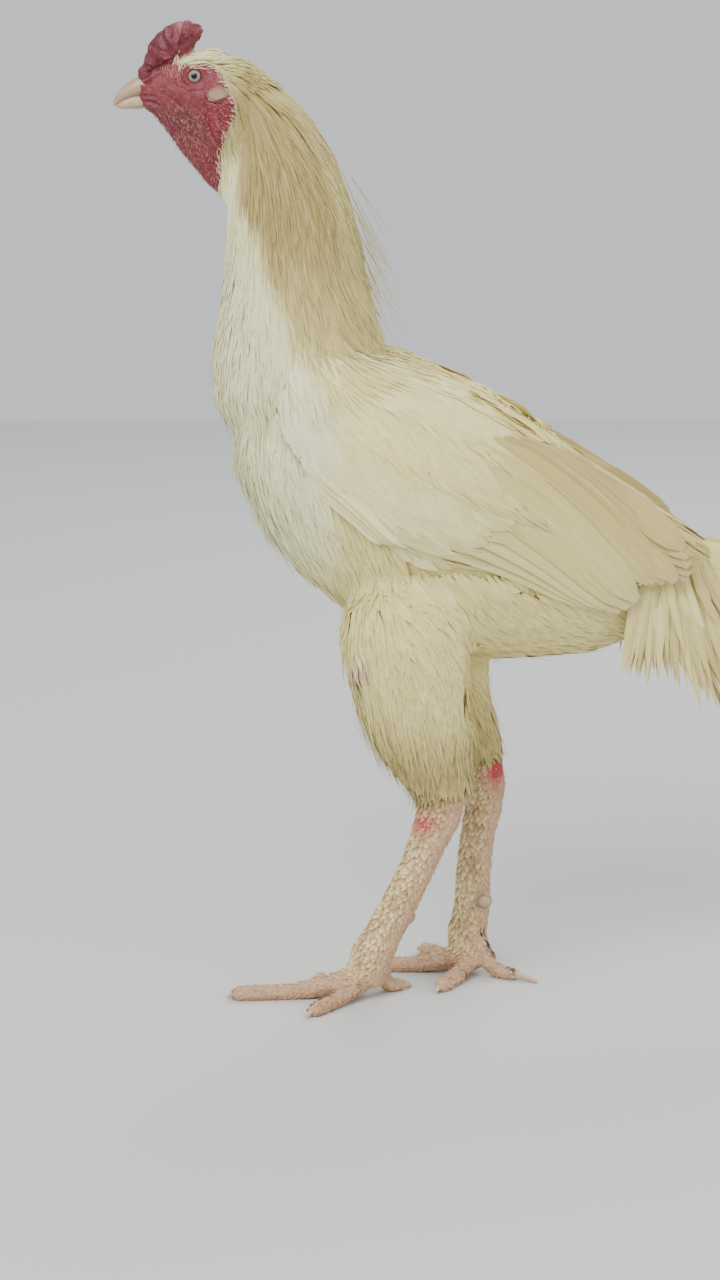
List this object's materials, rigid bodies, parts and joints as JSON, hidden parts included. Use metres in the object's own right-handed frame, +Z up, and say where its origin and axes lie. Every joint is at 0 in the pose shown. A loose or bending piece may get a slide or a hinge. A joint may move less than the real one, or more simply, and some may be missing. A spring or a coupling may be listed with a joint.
{
  "type": "rooster",
  "caption": "Still, life-size model of a tall white game cock with a red face, walking stance with the left foot forward, standing free on its own toes.",
  "frame": {"origin": "on the floor, under the middle of the bounding box", "axes": "+Z up; the beak points along -X; the bird's left side is towards -Y"},
  "size_m": [0.6108, 0.1778, 0.7205],
  "materials": {
    "body_plumage": "flesh under close, hard, cream-white feathers with a straw tint on the neck",
    "flight_plumage": "long cream-white wing, saddle and tail feathers with a soft sheen",
    "bare_red_skin": "bare red skin of the face, throat and comb, finely wrinkled and pebbled",
    "earlobe": "smooth pinkish-white earlobe",
    "horn": "pale ivory horn of the beak, claws and spurs, slightly glossy",
    "eye": "wet, glossy pearl-grey eye with a black pupil",
    "scaled_skin": "rough, pale yellow and pink scales of the shanks and toes"
  },
  "bodies": {
    "root": {"trunk": "body_plumage", "neck": "body_plumage", "thigh_left": "body_plumage", "thigh_right": "body_plumage", "wing_left": "flight_plumage", "primaries_left": "flight_plumage", "tail_left": "flight_plumage", "sickle_left": "flight_plumage", "saddle_left": "flight_plumage", "wing_right": "flight_plumage", "primaries_right": "flight_plumage", "tail_right": "flight_plumage", "sickle_right": "flight_plumage", "saddle_right": "flight_plumage", "head": "bare_red_skin", "comb": "bare_red_skin", "earlobe_left": "earlobe", "earlobe_right": "earlobe", "beak_upper": "horn", "beak_lower": "horn", "eye_left": "eye", "eye_right": "eye", "shank_left": "scaled_skin", "spur_left": "horn", "toe_hind_left": "scaled_skin", "claw_hind_left": "horn", "toe_inner_left": "scaled_skin", "claw_inner_left": "horn", "toe_middle_left": "scaled_skin", "claw_middle_left": "horn", "toe_outer_left": "scaled_skin", "claw_outer_left": "horn", "shank_right": "scaled_skin", "spur_right": "horn", "toe_hind_right": "scaled_skin", "claw_hind_right": "horn", "toe_inner_right": "scaled_skin", "claw_inner_right": "horn", "toe_middle_right": "scaled_skin", "claw_middle_right": "horn", "toe_outer_right": "scaled_skin", "claw_outer_right": "horn"}
  },
  "joints": []
}
